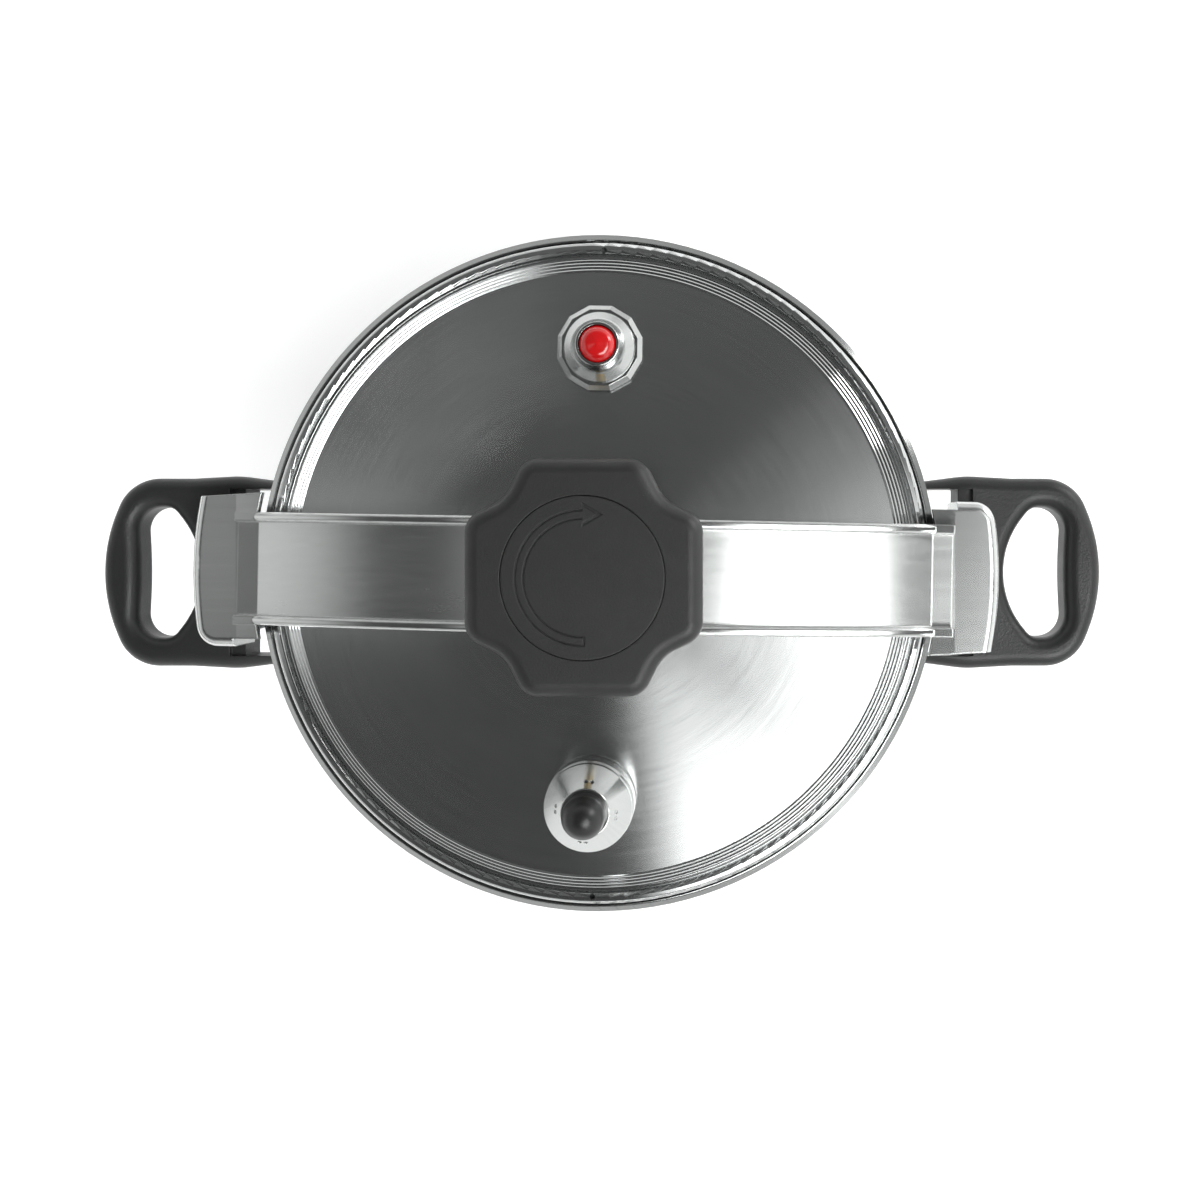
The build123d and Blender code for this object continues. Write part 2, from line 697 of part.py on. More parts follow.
def knob_outline():
    """Four flat-ended lobes with hollows on the diagonals."""
    corners = []
    for quarter in range(4):
        turn = math.radians(90 * quarter)
        for x, y, r in (
            (knob_half_width, knob_flat, knob_lobe_round),
            (knob_valley, knob_valley, knob_valley_round),
            (knob_flat, knob_half_width, knob_lobe_round),
        ):
            corners.append((
                x * math.cos(turn) - y * math.sin(turn), x * math.sin(turn) + y * math.cos(turn), r))
    return corners


def knob_grip():
    """Moulded knob: lobes, a hub on the screw's shoulder and a recess for washer, nut and cap."""
    body = plate(knob_outline(), knob_low, knob_top)
    body = fillet(body.edges().group_by(Axis.Z)[-1], knob_edge_round)
    body = fillet(body.edges().group_by(Axis.Z)[0], knob_edge_round / 2)
    body -= ring(screw_radius + thread_gap, 0, knob_low - 1, seat)
    body -= ring(spigot_radius + thread_gap, 0, seat - 1, washer_seat + 1)
    body -= ring(nut_room, 0, washer_seat, knob_top + 1)
    return body - ring(knob_cap_radius + cap_gap, 0, knob_top - knob_cap_height, knob_top + 1)


def arrow_area(inner, outer, back, head):
    """Clockwise arrow: a band from the -Y side round by -X to the +Y side, ending in a head."""
    band = plan([(outer, -outer, 0), (0, -outer, 0), (0, outer, 0), (outer, outer, 0)])
    half = Circle(outer) - Circle(inner) - band
    half += Pos(back / 2, -(inner + outer) / 2) * Rectangle(back, outer - inner)
    middle = (inner + outer) / 2
    tip = plan([(0, middle - head, 0), (head * 1.7, middle, 0), (0, middle + head, 0)])
    return half + tip


def knob_cap():
    """Flush disc over the nut, with a pressed outline of a clockwise arrow."""
    body = ring(knob_cap_radius, 0, knob_top - knob_cap_height, knob_top)
    body = fillet(body.edges().group_by(Axis.Z)[-1], 0.4)
    outer = arrow_area(arrow_inner, arrow_outer, 0.8, 4.0)
    inner = arrow_area(arrow_inner + arrow_line, arrow_outer - arrow_line, 0.2, 4.0 - arrow_line * 2)
    groove = extrude(Pos(0, 0, knob_top - arrow_depth) * (outer - inner), arrow_depth + 1, dir=(0, 0, 1))
    return body - groove


def knob_washer():
    """Flat washer under the knob's nut."""
    return ring(washer_radius, spigot_radius + thread_gap, washer_seat, washer_seat + washer_thickness)


def knob_nut():
    """Nut that holds the knob down on the screw's shoulder."""
    low = washer_seat + washer_thickness
    return hexagon(nut_across, spigot_radius + thread_gap, low, low + nut_height)


def rack():
    """Perforated plate on three feet that holds jars or food off the floor."""
    radius = pot_radius - pot_wall - floor_round
    low = floor_top + rack_height
    body = ring(radius, 0, low, low + rack_sheet)
    hole = ring(rack_hole, 0, low - 1, low + rack_sheet + 1)
    for circle, count in ((0.0, 1), (0.26, 6), (0.52, 12), (0.78, 18)):
        for index in range(count):
            body -= Rot(0, 0, 360 / count * index) * Pos(circle * radius, 0, 0) * hole
    for index in range(3):
        body += Rot(0, 0, 120 * index + 30) * Pos(radius * 0.9, 0, 0) * ring(rack_foot, 0, floor_top, low + 0.5)
    return body


def nut_for_valve():
    """Nut under the lid that pulls a valve down on its seal."""
    return hexagon(valve_nut_across, neck_radius + thread_gap, nut_seat - valve_nut_height, nut_seat)


def shim_for_valve():
    """Shim under the lid, before it is trimmed to the lid's curve, so that the nut pulls square."""
    return ring(valve_nut_across / 2, neck_radius + thread_gap, nut_seat, panel_under + 1.0)


os.makedirs("parts", exist_ok=True)
on_lid = Rot(0, 0, lid_set_angle)
indicator_place = on_lid * Pos(0, valve_reach, 0)
vent_place = on_lid * Pos(0, -valve_reach, 0)

lid = lid_shell()
strap = yoke_strap()
right_bracket, left_bracket = both_sides(lug_bracket())
right_handle, left_handle = both_sides(handle())
right_hook, left_hook = both_sides(hook())


def fitted(piece, side, keep_high):
    """A valve's ring put in place and trimmed to the lid's curve on one side."""
    cut = Pos(0, side * valve_reach, 0) * piece - lid
    solids = cut.solids().sort_by(Axis.Z)
    return solids[-1] if keep_high else solids[0]


pieces = {
    "pot_shell": pot_shell(),
    "base_core": base_core(),
    "base_cap": base_cap(),
    "right_lug_bracket": right_bracket,
    "left_lug_bracket": left_bracket,
    "right_handle": right_handle,
    "left_handle": left_handle,
    "handle_screws": Compound(children=both_sides(handle_screw())),
    "rack": rack(),
    "lid_shell": on_lid * lid,
    "lid_gasket": lid_gasket(),
    "centre_boss": on_lid * centre_boss(lid),
    "indicator_housing": indicator_place * indicator_housing(),
    "indicator_seal": on_lid * fitted(valve_seal(bell_base), 1, True),
    "indicator_shim": on_lid * fitted(shim_for_valve(), 1, False),
    "indicator_nut": indicator_place * nut_for_valve(),
    "indicator_button": indicator_place * indicator_button(),
    "indicator_stem": indicator_place * indicator_stem(),
    "indicator_spring": indicator_place * indicator_spring(),
    "vent_body": vent_place * vent_body(),
    "vent_seal": on_lid * fitted(valve_seal(vent_base_radius - 1), -1, True),
    "vent_shim": on_lid * fitted(shim_for_valve(), -1, False),
    "vent_nut": vent_place * nut_for_valve(),
    "vent_filter": vent_place * vent_filter(),
    "regulator_needle": vent_place * regulator_needle(),
    "regulator_cone": vent_place * regulator_cone(),
    "regulator_ball": vent_place * regulator_ball(),
    "yoke_strap": on_lid * strap,
    "right_hook": on_lid * right_hook,
    "left_hook": on_lid * left_hook,
    "threaded_bush": on_lid * threaded_bush(strap),
    "pressure_foot": pressure_foot(),
    "foot_clip": foot_clip(),
    "clamp_screw": clamp_screw(),
    "knob_grip": knob_grip(),
    "knob_washer": knob_washer(),
    "knob_nut": knob_nut(),
    "knob_cap": knob_cap(),
}
for name, shape in pieces.items():
    export_step(shape, f"parts/{name}.step")
    print(name, round(shape.volume))
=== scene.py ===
# %% [markdown]
# # A clamp pressure cooker, seen from above
# The cooker is a steel pot with a domed lid, a steel yoke across it, and black moulded grips. The
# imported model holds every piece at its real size, in metres. This lesson gives each piece the finish
# that its maker gives it, lights it, and winds the one spring that has to be squashed.

# %% Load the frame
import json
import math

import bpy
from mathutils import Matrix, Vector


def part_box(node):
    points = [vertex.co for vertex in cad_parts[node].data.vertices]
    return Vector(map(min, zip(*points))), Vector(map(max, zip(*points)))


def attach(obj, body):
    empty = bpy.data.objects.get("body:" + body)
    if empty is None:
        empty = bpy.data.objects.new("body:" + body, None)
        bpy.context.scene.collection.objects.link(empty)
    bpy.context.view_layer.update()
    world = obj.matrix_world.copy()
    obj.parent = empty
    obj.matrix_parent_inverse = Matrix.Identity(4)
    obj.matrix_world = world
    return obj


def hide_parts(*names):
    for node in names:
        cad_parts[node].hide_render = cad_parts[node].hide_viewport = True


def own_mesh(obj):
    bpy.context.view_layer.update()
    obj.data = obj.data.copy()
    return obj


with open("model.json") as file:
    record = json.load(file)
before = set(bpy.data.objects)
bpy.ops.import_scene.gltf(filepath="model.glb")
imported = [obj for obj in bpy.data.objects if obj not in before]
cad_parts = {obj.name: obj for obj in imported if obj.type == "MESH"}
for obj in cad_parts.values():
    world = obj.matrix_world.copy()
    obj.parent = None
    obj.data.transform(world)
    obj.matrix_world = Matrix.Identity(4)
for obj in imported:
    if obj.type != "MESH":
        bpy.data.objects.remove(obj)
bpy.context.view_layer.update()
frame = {"nodes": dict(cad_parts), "record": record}
nodes = frame["nodes"]
record = frame["record"]
scene = bpy.context.scene
rim_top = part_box("pot_shell")[1].z
print("nodes", len(nodes), "rim top", round(rim_top, 4))

# %% [markdown]
# ## Camera
# A pan is pictured from above on a stand, with the lens looking straight down from a little to one
# side. Sliding the lens sideways instead of tilting the camera keeps the round rim round, so the
# camera below has a shift and no tilt.

# %% Camera
camera_height = 0.500      # above the rim
camera_place = Vector((0.0453, 0.0132))
frame_width = 0.4531       # what the picture spans at the rim
frame_middle = Vector((0.0005, -0.0101))

lens = bpy.data.cameras.new("camera")
camera = bpy.data.objects.new("camera", lens)
scene.collection.objects.link(camera)
camera.location = (camera_place.x, camera_place.y, rim_top + camera_height)
lens.sensor_width = 36.0
lens.lens = lens.sensor_width * camera_height / frame_width
lens.shift_x = (frame_middle.x - camera_place.x) / frame_width
lens.shift_y = (frame_middle.y - camera_place.y) / frame_width
lens.clip_start, lens.clip_end = 0.05, 20.0
scene.camera = camera
scene.view_settings.view_transform = "Standard"
print("lens", round(lens.lens, 2), "mm, shift", round(lens.shift_x, 3), round(lens.shift_y, 3))

# %% [markdown]
# ## Making shader nodes in code
# A material is a small net of nodes. The helper below makes one node, sets what it is told, and joins
# it to the nodes before it. Written once, it keeps each finish short enough to read as a recipe.


# %% A helper for nodes
def add(tree, kind, inputs=None, **settings):
    """One shader node, with its settings, and its inputs given as values or as other sockets."""
    made = tree.nodes.new("ShaderNode" + kind)
    for key, value in settings.items():
        setattr(made, key, value)
    for key, value in (inputs or {}).items():
        if isinstance(value, bpy.types.NodeSocket):
            tree.links.new(value, made.inputs[key])
        else:
            made.inputs[key].default_value = value
    return made


def maths(tree, operation, first, second=0.0, clamp=False):
    """One sum on two values."""
    return add(tree, "Math", {0: first, 1: second}, operation=operation, use_clamp=clamp).outputs[0]


def between(tree, value, low, high, to_low=0.0, to_high=1.0):
    """A value taken from one range to another, held at its ends."""
    made = add(tree, "MapRange", {
        "Value": value, "From Min": low, "From Max": high, "To Min": to_low, "To Max": to_high})
    return made.outputs["Result"]


def noise(tree, vector, scale, detail=2.0, roughness=0.5):
    """Cloudy noise at a place."""
    return add(tree, "TexNoise", {
        "Vector": vector, "Scale": scale, "Detail": detail, "Roughness": roughness}).outputs["Fac"]


# %% [markdown]
# ## The studio
# Polished steel shows what stands round it, so the room matters more than the lamps. The room here is
# dark overhead and bright low down, like a black ceiling over white walls: flat steel looks deep grey
# and every rounded edge carries a bright line. A large soft panel hangs over one side, and fainter
# ones fill beside it. Z says how far up a direction points: 1 is straight up and 0 is the horizon.

# %% The room
world = bpy.data.worlds.new("studio")
scene.world = world
world.use_nodes = True
room = world.node_tree
backdrop = room.nodes["Background"]
toward = add(room, "SeparateXYZ", {"Vector": add(room, "TexCoord").outputs["Generated"]})
level_x, level_y, level_z = (toward.outputs[axis] for axis in "XYZ")

wall_fades_out, wall_full = 0.72, 0.42        # the walls' soft upper edge
left_wall, right_wall = 0.85, 1.30            # their brightness
skirting_low, skirting_high = 0.03, 0.30      # the walls dim towards the horizon
skirting_light = 0.3
open_side = (0.2, 0.7)                        # except on the right
near_ceiling, far_ceiling = 0.045, 0.13

walls = between(room, level_z, wall_fades_out, wall_full)
wall_light = between(room, level_x, -0.9, 0.9, left_wall, right_wall)
skirting = maths(room, "MAXIMUM",
                 between(room, level_z, skirting_low, skirting_high, skirting_light, 1.0),
                 between(room, level_x, *open_side))
wall_light = maths(room, "MULTIPLY", wall_light, skirting)
ceiling = between(room, level_y, -0.5, 0.6, near_ceiling, far_ceiling)
room_light = add(room, "Mix", {"Factor": walls, 2: ceiling, 3: wall_light}, data_type="FLOAT").outputs[0]

# %% [markdown]
# A panel is given by slopes away from straight up: 0 is overhead and 1 is half way down to the
# horizon. Its edges are blurred, as a cloth softbox's are.

# %% Soft panels
lowest_up = 0.02           # keeps the slopes finite at the horizon
up = maths(room, "MAXIMUM", level_z, lowest_up)
slope_x = maths(room, "DIVIDE", level_x, up)
slope_y = maths(room, "DIVIDE", level_y, up)


def panel(x_range, y_range, blur, brightness):
    """A soft bright panel in the ceiling; its sides are slopes away from straight up."""
    inside = 1.0
    for slope, (low, high) in ((slope_x, x_range), (slope_y, y_range)):
        inside = maths(room, "MULTIPLY", inside, between(room, slope, low - blur, low + blur))
        inside = maths(room, "MULTIPLY", inside, between(room, slope, high + blur, high - blur))
    return maths(room, "MULTIPLY", inside, brightness)


panels = {
    "main": panel((0.28, 0.72), (-0.85, -0.05), blur=0.05, brightness=8.0),
    "corner": panel((0.03, 0.30), (-0.75, -0.33), blur=0.05, brightness=5.5),
    "fill": panel((0.27, 0.72), (-0.04, 0.17), blur=0.06, brightness=1.2),
    "hook fill": panel((-0.45, -0.33), (-0.08, 0.08), blur=0.03, brightness=0.6),
    "left fill": panel((-1.5, -0.85), (-0.25, 0.25), blur=0.12, brightness=0.6),
}
total_light = room_light
for glow in panels.values():
    total_light = maths(room, "ADD", total_light, glow)
backdrop.inputs["Color"].default_value = (0.985, 1.0, 0.99, 1)
room.links.new(total_light, backdrop.inputs["Strength"])
world.cycles.sample_map_resolution = 1024     # fine enough to find the small panels
print("panels", sorted(panels))


# %% Lamps
def area_lamp(name, place, aim, size, radiance):
    """A soft rectangular lamp at a place, turned to face a point, as bright as its own surface."""
    data = bpy.data.lights.new(name, "AREA")
    data.shape = "RECTANGLE"
    data.size, data.size_y = size
    data.energy = radiance * math.pi * size[0] * size[1]
    lamp = bpy.data.objects.new(name, data)
    scene.collection.objects.link(lamp)
    lamp.location = place
    lamp.rotation_mode = "QUATERNION"
    lamp.rotation_quaternion = (Vector(aim) - Vector(place)).to_track_quat("-Z", "Y")
    print("lamp", name, "power", round(data.energy, 2), "W")
    return lamp


area_lamp("side", place=(1.5, 1.0, rim_top + 0.9), aim=(0, 0, rim_top), size=(0.5, 0.9), radiance=7.0)

# %% [markdown]
# ## The table
# Catalogue pictures are often taken on a light table: a sheet of white plastic lit a little from
# below. It takes the hard edge off the object's shadow and leaves a clean pale ground.

# %% The table
table_half = 3.0
table_tone, table_rough, table_glow = 0.86, 0.7, 0.45
table_mesh = bpy.data.meshes.new("light_table")
table_mesh.from_pydata(
    [(-table_half, -table_half, 0), (table_half, -table_half, 0),
     (table_half, table_half, 0), (-table_half, table_half, 0)], [], [(0, 1, 2, 3)])
table = bpy.data.objects.new("light_table", table_mesh)
scene.collection.objects.link(table)
table_paint = bpy.data.materials.new("light_table_plastic")
table_paint.use_nodes = True
sheet = table_paint.node_tree.nodes["Principled BSDF"]
sheet.inputs["Base Color"].default_value = (table_tone, table_tone, table_tone, 1)
sheet.inputs["Roughness"].default_value = table_rough
sheet.inputs["Emission Color"].default_value = (1, 1, 1, 1)
sheet.inputs["Emission Strength"].default_value = table_glow
table_mesh.materials.append(table_paint)

# %% [markdown]
# ## Effects that several finishes share
# Brushing, worn edges, moulded grain and finger marks turn up on many pieces. Each is a node group
# with named inputs and outputs, built once and placed in a material with that piece's own numbers.


# %% A helper for groups
def effect(name, inputs, outputs):
    """An empty node group: inputs are (name, value), outputs are (name, kind)."""
    tree = bpy.data.node_groups.new(name, "ShaderNodeTree")
    for label, value in inputs:
        kind = "NodeSocketVector" if isinstance(value, tuple) else "NodeSocketFloat"
        socket = tree.interface.new_socket(label, in_out="INPUT", socket_type=kind)
        socket.default_value = value
    for label, kind in outputs:
        tree.interface.new_socket(label, in_out="OUTPUT", socket_type="NodeSocket" + kind)
    given = tree.nodes.new("NodeGroupInput").outputs
    result = tree.nodes.new("NodeGroupOutput").inputs
    print("effect", name, [label for label, _ in inputs], "->", [label for label, _ in outputs])
    return tree, given, result


# %% [markdown]
# ### Circular brushing
# A lid is polished while it spins, so its scratches are rings about the middle. Noise read along the
# radius alone draws rings; a second, slower noise that also follows the angle breaks them up, because
# no real scratch goes all the way round.

# %% Circular brushing
rings, given, result = effect(
    "circular_brushing",
    [("Centre", (0.0, 0.0, 0.0)), ("Fineness", 4000.0)],
    [("Height", "Float"), ("Streak", "Float")])
here = add(rings, "TexCoord").outputs["Object"]
arm = add(rings, "VectorMath", {0: here, 1: given["Centre"]}, operation="SUBTRACT").outputs[0]
split = add(rings, "SeparateXYZ", {"Vector": arm})
radius = maths(rings, "SQRT", maths(
    rings, "ADD",
    maths(rings, "MULTIPLY", split.outputs["X"], split.outputs["X"]),
    maths(rings, "MULTIPLY", split.outputs["Y"], split.outputs["Y"])))
angle = maths(rings, "ARCTAN2", split.outputs["Y"], split.outputs["X"])
along = maths(rings, "ADD", radius, maths(rings, "MULTIPLY", split.outputs["Z"], 0.7))
groove_place = add(rings, "CombineXYZ", {
    "X": maths(rings, "MULTIPLY", along, given["Fineness"]), "Y": maths(rings, "MULTIPLY", angle, 1.5)})
rings.links.new(noise(rings, groove_place.outputs[0], 1.0, 3.0, 0.7), result["Height"])
streak_place = add(rings, "CombineXYZ", {
    "X": maths(rings, "MULTIPLY", along, maths(rings, "MULTIPLY", given["Fineness"], 0.22)),
    "Y": maths(rings, "MULTIPLY", angle, 2.5)})
rings.links.new(noise(rings, streak_place.outputs[0], 1.0, 4.0, 0.6), result["Streak"])

# %% [markdown]
# ### Spun rings
# The lid's edge is spun over a roller, so its surface leans only towards or away from the lid's axis.
# This group keeps a facet's lean but aims it exactly along the radius, which hides the mesh's facets.
# Between two radii it lays soft ripples over the pressed ridges instead: a wave gives the lean, its
# top and bottom cut off so that each flank is broad.

# %% Spun rings
flank_gain = 1.7           # how far past 1 the wave would go before it is cut off
least_rise = 0.1           # steeper facets than this keep their own direction
spun, given, result = effect(
    "spun_rings",
    [("Start", 0.11), ("End", 0.118), ("Pitch", 0.0016), ("Lean", 0.4), ("Bias", 0.0)],
    [("Normal", "Vector"), ("Ring", "Float")])


def turned_axes(tree, vector, convert_from, convert_to):
    """A surface direction taken from one space to another."""
    return add(tree, "VectorTransform", {"Vector": vector}, vector_type="NORMAL",
               convert_from=convert_from, convert_to=convert_to).outputs[0]


def leaning(tree, outward, lean, rise):
    """A direction that leans outward by one amount and rises by another."""
    out = add(tree, "VectorMath", {0: outward, "Scale": lean}, operation="SCALE").outputs[0]
    risen = add(tree, "CombineXYZ", {"Z": rise}).outputs[0]
    return add(tree, "VectorMath", {0: out, 1: risen}, operation="ADD").outputs[0]


def either(tree, factor, first, second):
    """One of two directions."""
    return add(tree, "Mix", {"Factor": factor, 4: first, 5: second}, data_type="VECTOR").outputs[1]


here = add(spun, "SeparateXYZ", {"Vector": add(spun, "TexCoord").outputs["Object"]})
arm = add(spun, "CombineXYZ", {"X": here.outputs["X"], "Y": here.outputs["Y"]}).outputs[0]
radius = add(spun, "VectorMath", {0: arm}, operation="LENGTH").outputs["Value"]
outward = add(spun, "VectorMath", {0: arm}, operation="NORMALIZE").outputs[0]
surface = add(spun, "NewGeometry")
facet = turned_axes(spun, surface.outputs["True Normal"], "WORLD", "OBJECT")
lean = add(spun, "VectorMath", {0: facet, 1: outward}, operation="DOT_PRODUCT").outputs["Value"]
rise = add(spun, "SeparateXYZ", {"Vector": facet}).outputs["Z"]
turned = leaning(spun, outward, lean, rise)
past_start = maths(spun, "SUBTRACT", radius, given["Start"])
phase = maths(spun, "DIVIDE", maths(spun, "MULTIPLY", past_start, 2 * math.pi), given["Pitch"])
wave = maths(spun, "MULTIPLY", maths(spun, "SINE", phase), flank_gain)
wave = maths(spun, "MINIMUM", maths(spun, "MAXIMUM", wave, -1.0), 1.0)
ripple_lean = maths(spun, "ADD", maths(spun, "MULTIPLY", wave, given["Lean"]), given["Bias"])
rippled = leaning(spun, outward, ripple_lean, 1.0)
facing_up = maths(spun, "GREATER_THAN", rise, least_rise)
on_ripples = maths(spun, "MULTIPLY", maths(spun, "LESS_THAN", radius, given["End"]), facing_up)
ring_normal = turned_axes(spun, either(spun, on_ripples, turned, rippled), "OBJECT", "WORLD")
beyond = maths(spun, "MULTIPLY", maths(spun, "GREATER_THAN", radius, given["Start"]), facing_up)
chosen = either(spun, beyond, surface.outputs["Normal"], ring_normal)
spun.links.new(add(spun, "VectorMath", {0: chosen}, operation="NORMALIZE").outputs[0], result["Normal"])
spun.links.new(beyond, result["Ring"])

# %% [markdown]
# ### Straight brushing
# Strip steel is brushed along its length before it is bent. The same noise, squeezed across the strip
# and drawn out along it, gives long straight hairlines.

# %% Straight brushing
lines, given, result = effect(
    "straight_brushing",
    [("Fineness", 2500.0), ("Stretch", 60.0)],
    [("Height", "Float"), ("Streak", "Float")])
here = add(lines, "TexCoord").outputs["Object"]
split = add(lines, "SeparateXYZ", {"Vector": here})
squeezed = add(lines, "CombineXYZ", {
    "X": maths(lines, "DIVIDE", split.outputs["X"], given["Stretch"]),
    "Y": split.outputs["Y"], "Z": split.outputs["Z"]}).outputs[0]
fine = add(lines, "VectorMath", {0: squeezed, "Scale": given["Fineness"]}, operation="SCALE").outputs[0]
lines.links.new(noise(lines, fine, 1.0, 3.0, 0.7), result["Height"])
lines.links.new(noise(lines, fine, 0.25, 4.0, 0.6), result["Streak"])

# %% [markdown]
# ### Worn edges
# Handling rubs an edge first. A Bevel node rounds the surface's direction near an edge; where that
# rounded direction differs from the true one, there is an edge, and the difference is a mask of it.

# %% Worn edges
edges, given, result = effect(
    "worn_edges", [("Reach", 0.0006), ("Breakup", 300.0)], [("Edge", "Float"), ("Normal", "Vector")])
rounded = add(edges, "Bevel", {"Radius": given["Reach"]}, samples=4).outputs["Normal"]
true_normal = add(edges, "NewGeometry").outputs["Normal"]
alike = add(edges, "VectorMath", {0: rounded, 1: true_normal}, operation="DOT_PRODUCT").outputs["Value"]
patchy = noise(edges, add(edges, "TexCoord").outputs["Object"], given["Breakup"], 4.0, 0.65)
bare = between(edges, alike, 0.995, 0.86)
edges.links.new(maths(edges, "MULTIPLY", bare, between(edges, patchy, 0.35, 0.62)), result["Edge"])
edges.links.new(rounded, result["Normal"])

# %% [markdown]
# ### Moulded grain
# Handle moulds are spark-eroded, which leaves a fine pebble grain on the plastic. Cell noise gives the
# pebbles, and broad noise lets the grain fade where a hand polishes it.

# %% Moulded grain
grain, given, result = effect(
    "moulded_grain", [("Scale", 1800.0), ("Polish", 60.0)], [("Height", "Float"), ("Rubbed", "Float")])
here = add(grain, "TexCoord").outputs["Object"]
pebbles = add(grain, "TexVoronoi", {"Vector": here, "Scale": given["Scale"]}, feature="SMOOTH_F1")
crumbs = noise(grain, here, maths(grain, "MULTIPLY", given["Scale"], 2.2), 2.0)
grain.links.new(
    maths(grain, "ADD", pebbles.outputs["Distance"], maths(grain, "MULTIPLY", crumbs, 0.5)), result["Height"])
grain.links.new(between(grain, noise(grain, here, given["Polish"], 3.0), 0.4, 0.65), result["Rubbed"])

# %% [markdown]
# ### Finger marks and dust
# Kitchen steel is never quite clean. Large soft clouds dull the shine a little, and a sparse scatter
# of specks stands for dust.

# %% Finger marks and dust
marks, given, result = effect(
    "marks_and_dust", [("Scale", 28.0), ("Dust", 900.0)], [("Smudge", "Float"), ("Speck", "Float")])
here = add(marks, "TexCoord").outputs["Object"]
marks.links.new(between(marks, noise(marks, here, given["Scale"], 5.0, 0.6), 0.42, 0.7), result["Smudge"])
specks = add(marks, "TexVoronoi", {"Vector": here, "Scale": given["Dust"]})
sparse = between(marks, noise(marks, here, maths(marks, "MULTIPLY", given["Dust"], 0.13), 1.0), 0.6, 0.68)
marks.links.new(
    maths(marks, "MULTIPLY", between(marks, specks.outputs["Distance"], 0.12, 0.05), sparse), result["Speck"])


# %% [markdown]
# ## Steel finishes
# All the steel is one alloy; what differs is how it was worked. A brushed face spreads light across
# its scratches and hardly at all along them, which is what draws bright wedges on a lid. The shader's
# Anisotropic value does that, and its Tangent says which way the scratches run.


# %% Steel
def start(name):
    """A new material: its node tree and its surface shader."""
    made = bpy.data.materials.new(name)
    made.use_nodes = True
    return made, made.node_tree, made.node_tree.nodes["Principled BSDF"]


def place_effect(tree, group, **inputs):
    """A shared effect placed in a material."""
    made = tree.nodes.new("ShaderNodeGroup")
    made.node_tree = group
    for label, value in inputs.items():
        made.inputs[label].default_value = value
    return made.outputs


def mixed(tree, factor, first, second):
    """A colour between two colours."""
    made = add(tree, "Mix", {"Factor": factor}, data_type="RGBA")
    for socket, value in ((made.inputs[6], first), (made.inputs[7], second)):
        if isinstance(value, bpy.types.NodeSocket):
            tree.links.new(value, socket)
        else:
            socket.default_value = (*value, 1)
    return made.outputs[2]


def bumped(tree, shader, height, depth, normal, strength=1.0):
    """Relief laid over a rounded normal."""
    made = add(tree, "Bump", {"Height": height, "Distance": depth, "Strength": strength, "Normal": normal})
    tree.links.new(made.outputs[0], shader.inputs["Normal"])


deep_tone, dull_tone, bright_tone = 0.94, 0.90, 1.20      # shares of a steel's own tone
smudge_share, edge_share, dust_share = 0.15, 0.6, 0.06    # how strongly each shows
dust_colour = (0.7, 0.69, 0.66)
streak_rough = (0.95, 1.06)        # brushing varies the roughness between these shares
smudge_rough, edge_polish = 0.02, 0.06
brushed_relief = 0.3
quarter_turn = 0.25                # of a full turn, for the shader's Anisotropic Rotation


def shaded(tone, share):
    """A tone made darker or lighter."""
    return tuple(min(1, part * share) for part in tone)


def steel(name, tone, rough, spread, brushing, depth=0.000004, edge_reach=0.0005, tangent=None, **numbers):
    """Worked steel: a tone, how rough and how one-sided its shine is, and which way it was brushed."""
    made, tree, shader = start(name)
    shader.inputs["Metallic"].default_value = 1.0
    shader.inputs["Anisotropic"].default_value = spread
    brushed = place_effect(tree, brushing, **numbers)
    worn = place_effect(tree, edges, Reach=edge_reach)
    dirt = place_effect(tree, marks)
    smudged = maths(tree, "MULTIPLY", dirt["Smudge"], smudge_share)
    rubbed = maths(tree, "MULTIPLY", worn["Edge"], edge_share)
    dusted = maths(tree, "MULTIPLY", dirt["Speck"], dust_share)
    clean = mixed(tree, between(tree, brushed["Streak"], 0.3, 0.7), shaded(tone, deep_tone), tone)
    dull = mixed(tree, smudged, clean, shaded(tone, dull_tone))
    bright = mixed(tree, rubbed, dull, shaded(tone, bright_tone))
    tree.links.new(mixed(tree, dusted, bright, dust_colour), shader.inputs["Base Color"])
    least, most = (rough * share for share in streak_rough)
    shine = between(tree, brushed["Streak"], 0.25, 0.75, least, most)
    shine = maths(tree, "ADD", shine, maths(tree, "MULTIPLY", dirt["Smudge"], smudge_rough))
    shine = maths(tree, "SUBTRACT", shine, maths(tree, "MULTIPLY", worn["Edge"], edge_polish))
    tree.links.new(shine, shader.inputs["Roughness"])
    bumped(tree, shader, brushed["Height"], depth, worn["Normal"], brushed_relief)
    if tangent == "rings":
        about = add(tree, "Tangent", direction_type="RADIAL", axis="Z")
        tree.links.new(about.outputs[0], shader.inputs["Tangent"])
        shader.inputs["Anisotropic Rotation"].default_value = quarter_turn
    if tangent == "lines":
        across = add(tree, "VectorTransform", {"Vector": (0.0, 1.0, 0.0)},
                     vector_type="VECTOR", convert_from="OBJECT", convert_to="WORLD")
        tree.links.new(across.outputs[0], shader.inputs["Tangent"])
    return made


